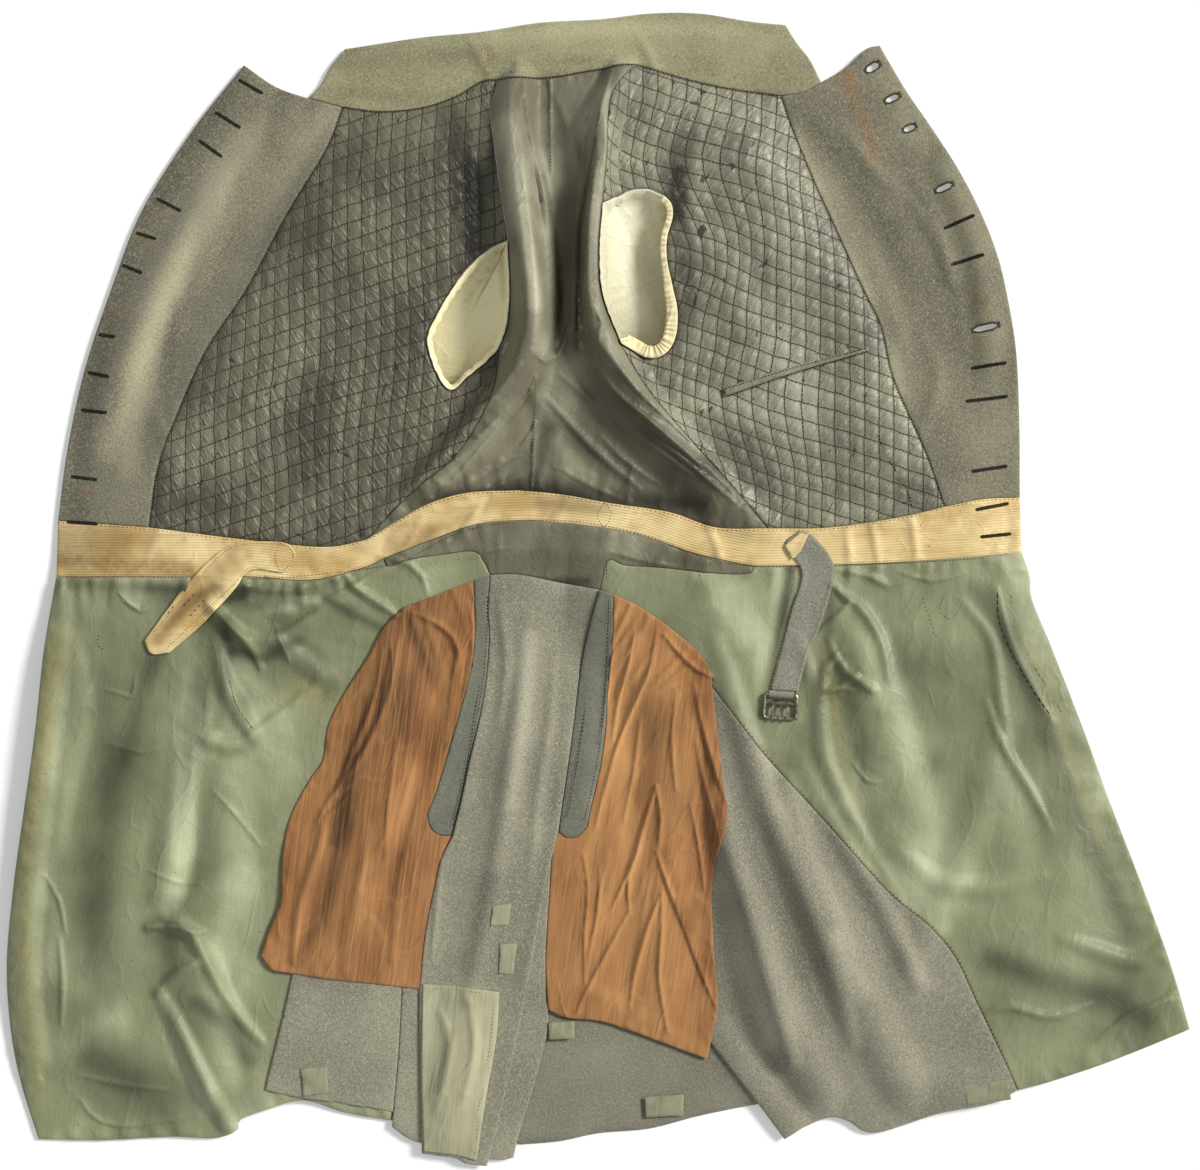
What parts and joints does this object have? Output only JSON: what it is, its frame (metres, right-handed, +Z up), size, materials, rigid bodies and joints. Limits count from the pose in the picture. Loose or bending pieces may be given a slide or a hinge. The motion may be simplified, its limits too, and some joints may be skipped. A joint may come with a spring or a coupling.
{
  "type": "military frock coat laid open",
  "caption": "Double-breasted wool uniform frock coat laid open lining up, with a quilted chest, satin skirt linings, inner pocket bags, waist straps and a pronged buckle.",
  "frame": {"origin": "centre of the bounding box in X and Y, on the surface the coat lies on", "axes": "+Z up out of the lining, +Y towards the collar, +X towards the wearer's left front; Z is the smallest extent"},
  "size_m": [1.0298, 1.0042, 0.0615],
  "materials": {
    "collar_under": "grey-brown wool cloth, the outside of the collar",
    "collar_inner": "olive felted wool",
    "forepart_right": "grey-brown wool cloth, right front, outer side down",
    "forepart_left": "grey-brown wool cloth, left front, outer side down",
    "back": "grey-brown wool cloth, back above the waist, outer side down",
    "skirt_right": "grey-brown wool cloth, right skirt, outer side down",
    "skirt_left": "grey-brown wool cloth, left skirt, outer side down",
    "facing_right": "grey-brown wool cloth facing with buttonholes",
    "facing_left": "grey-brown wool cloth facing with buttonholes",
    "quilt_right": "grey satin, padded and quilted in slanted cells",
    "quilt_left": "grey satin, padded and quilted in slanted cells",
    "back_lining": "grey-olive satin",
    "back_lining_tail": "grey-olive satin",
    "waistband": "buff ribbed ribbon, sewn along the waist",
    "skirt_lining_right": "green satin",
    "skirt_lining_left": "green satin",
    "pleat_right": "grey-brown wool cloth pleat",
    "pleat_left": "blue-grey wool cloth pleat",
    "underlay_right": "blue-grey wool cloth under the tail",
    "underlay_left": "blue-grey wool cloth under the tail",
    "tail": "grey-brown wool cloth, middle panel of the skirt",
    "tail_patch": "olive cotton hem lining",
    "pocket_welt_right": "blue-grey wool strip at the pocket mouth",
    "pocket_welt_left": "blue-grey wool strip at the pocket mouth",
    "pocket_bag_right": "red-brown cotton pocket bag",
    "pocket_bag_left": "red-brown cotton pocket bag",
    "breast_pocket_welt": "wool edge of the inside breast pocket",
    "strap_right": "buff ribbed ribbon",
    "strap_left": "grey wool strap",
    "strap_loop": "grey wool strap end, turned round the buckle's rail",
    "sleeve_right": "grey-brown wool cloth sleeve, flat below the coat",
    "sleeve_left": "grey-brown wool cloth sleeve, flat below the coat",
    "sleeve_lining_right": "cream sateen inside the sleeve",
    "sleeve_lining_left": "cream sateen inside the sleeve",
    "buckle_frame": "dull nickel-plated steel wire with a cross bar",
    "buckle_prongs": "dull nickel-plated steel, three prongs on one sleeve"
  },
  "bodies": {
    "coat": {"collar_under": "collar_under", "collar_inner": "collar_inner", "forepart_right": "forepart_right", "forepart_left": "forepart_left", "back": "back", "skirt_right": "skirt_right", "skirt_left": "skirt_left", "facing_right": "facing_right", "facing_left": "facing_left", "quilt_right": "quilt_right", "quilt_left": "quilt_left", "back_lining": "back_lining", "back_lining_tail": "back_lining_tail", "waistband": "waistband", "skirt_lining_right": "skirt_lining_right", "skirt_lining_left": "skirt_lining_left", "pleat_right": "pleat_right", "pleat_left": "pleat_left", "underlay_right": "underlay_right", "underlay_left": "underlay_left", "tail": "tail", "tail_patch": "tail_patch", "pocket_welt_right": "pocket_welt_right", "pocket_welt_left": "pocket_welt_left", "pocket_bag_right": "pocket_bag_right", "pocket_bag_left": "pocket_bag_left", "breast_pocket_welt": "breast_pocket_welt", "strap_right": "strap_right", "strap_left": "strap_left", "strap_loop": "strap_loop", "sleeve_right": "sleeve_right", "sleeve_left": "sleeve_left", "sleeve_lining_right": "sleeve_lining_right", "sleeve_lining_left": "sleeve_lining_left"},
    "buckle": {"buckle_frame": "buckle_frame"},
    "tongue": {"buckle_prongs": "buckle_prongs"}
  },
  "joints": [
    {"name": "buckle_swing", "type": "hinge", "parent": "coat", "child": "buckle", "pos_m": [0.15853, -0.09131, 0.02065], "axis": [-0.9976, 0.0698, 0], "range_deg": [0, 95]},
    {"name": "prong_lift", "type": "hinge", "parent": "buckle", "child": "tongue", "pos_m": [0.158, -0.09887, 0.0201], "axis": [-0.9976, 0.0698, 0], "range_deg": [0, 60]}
  ]
}
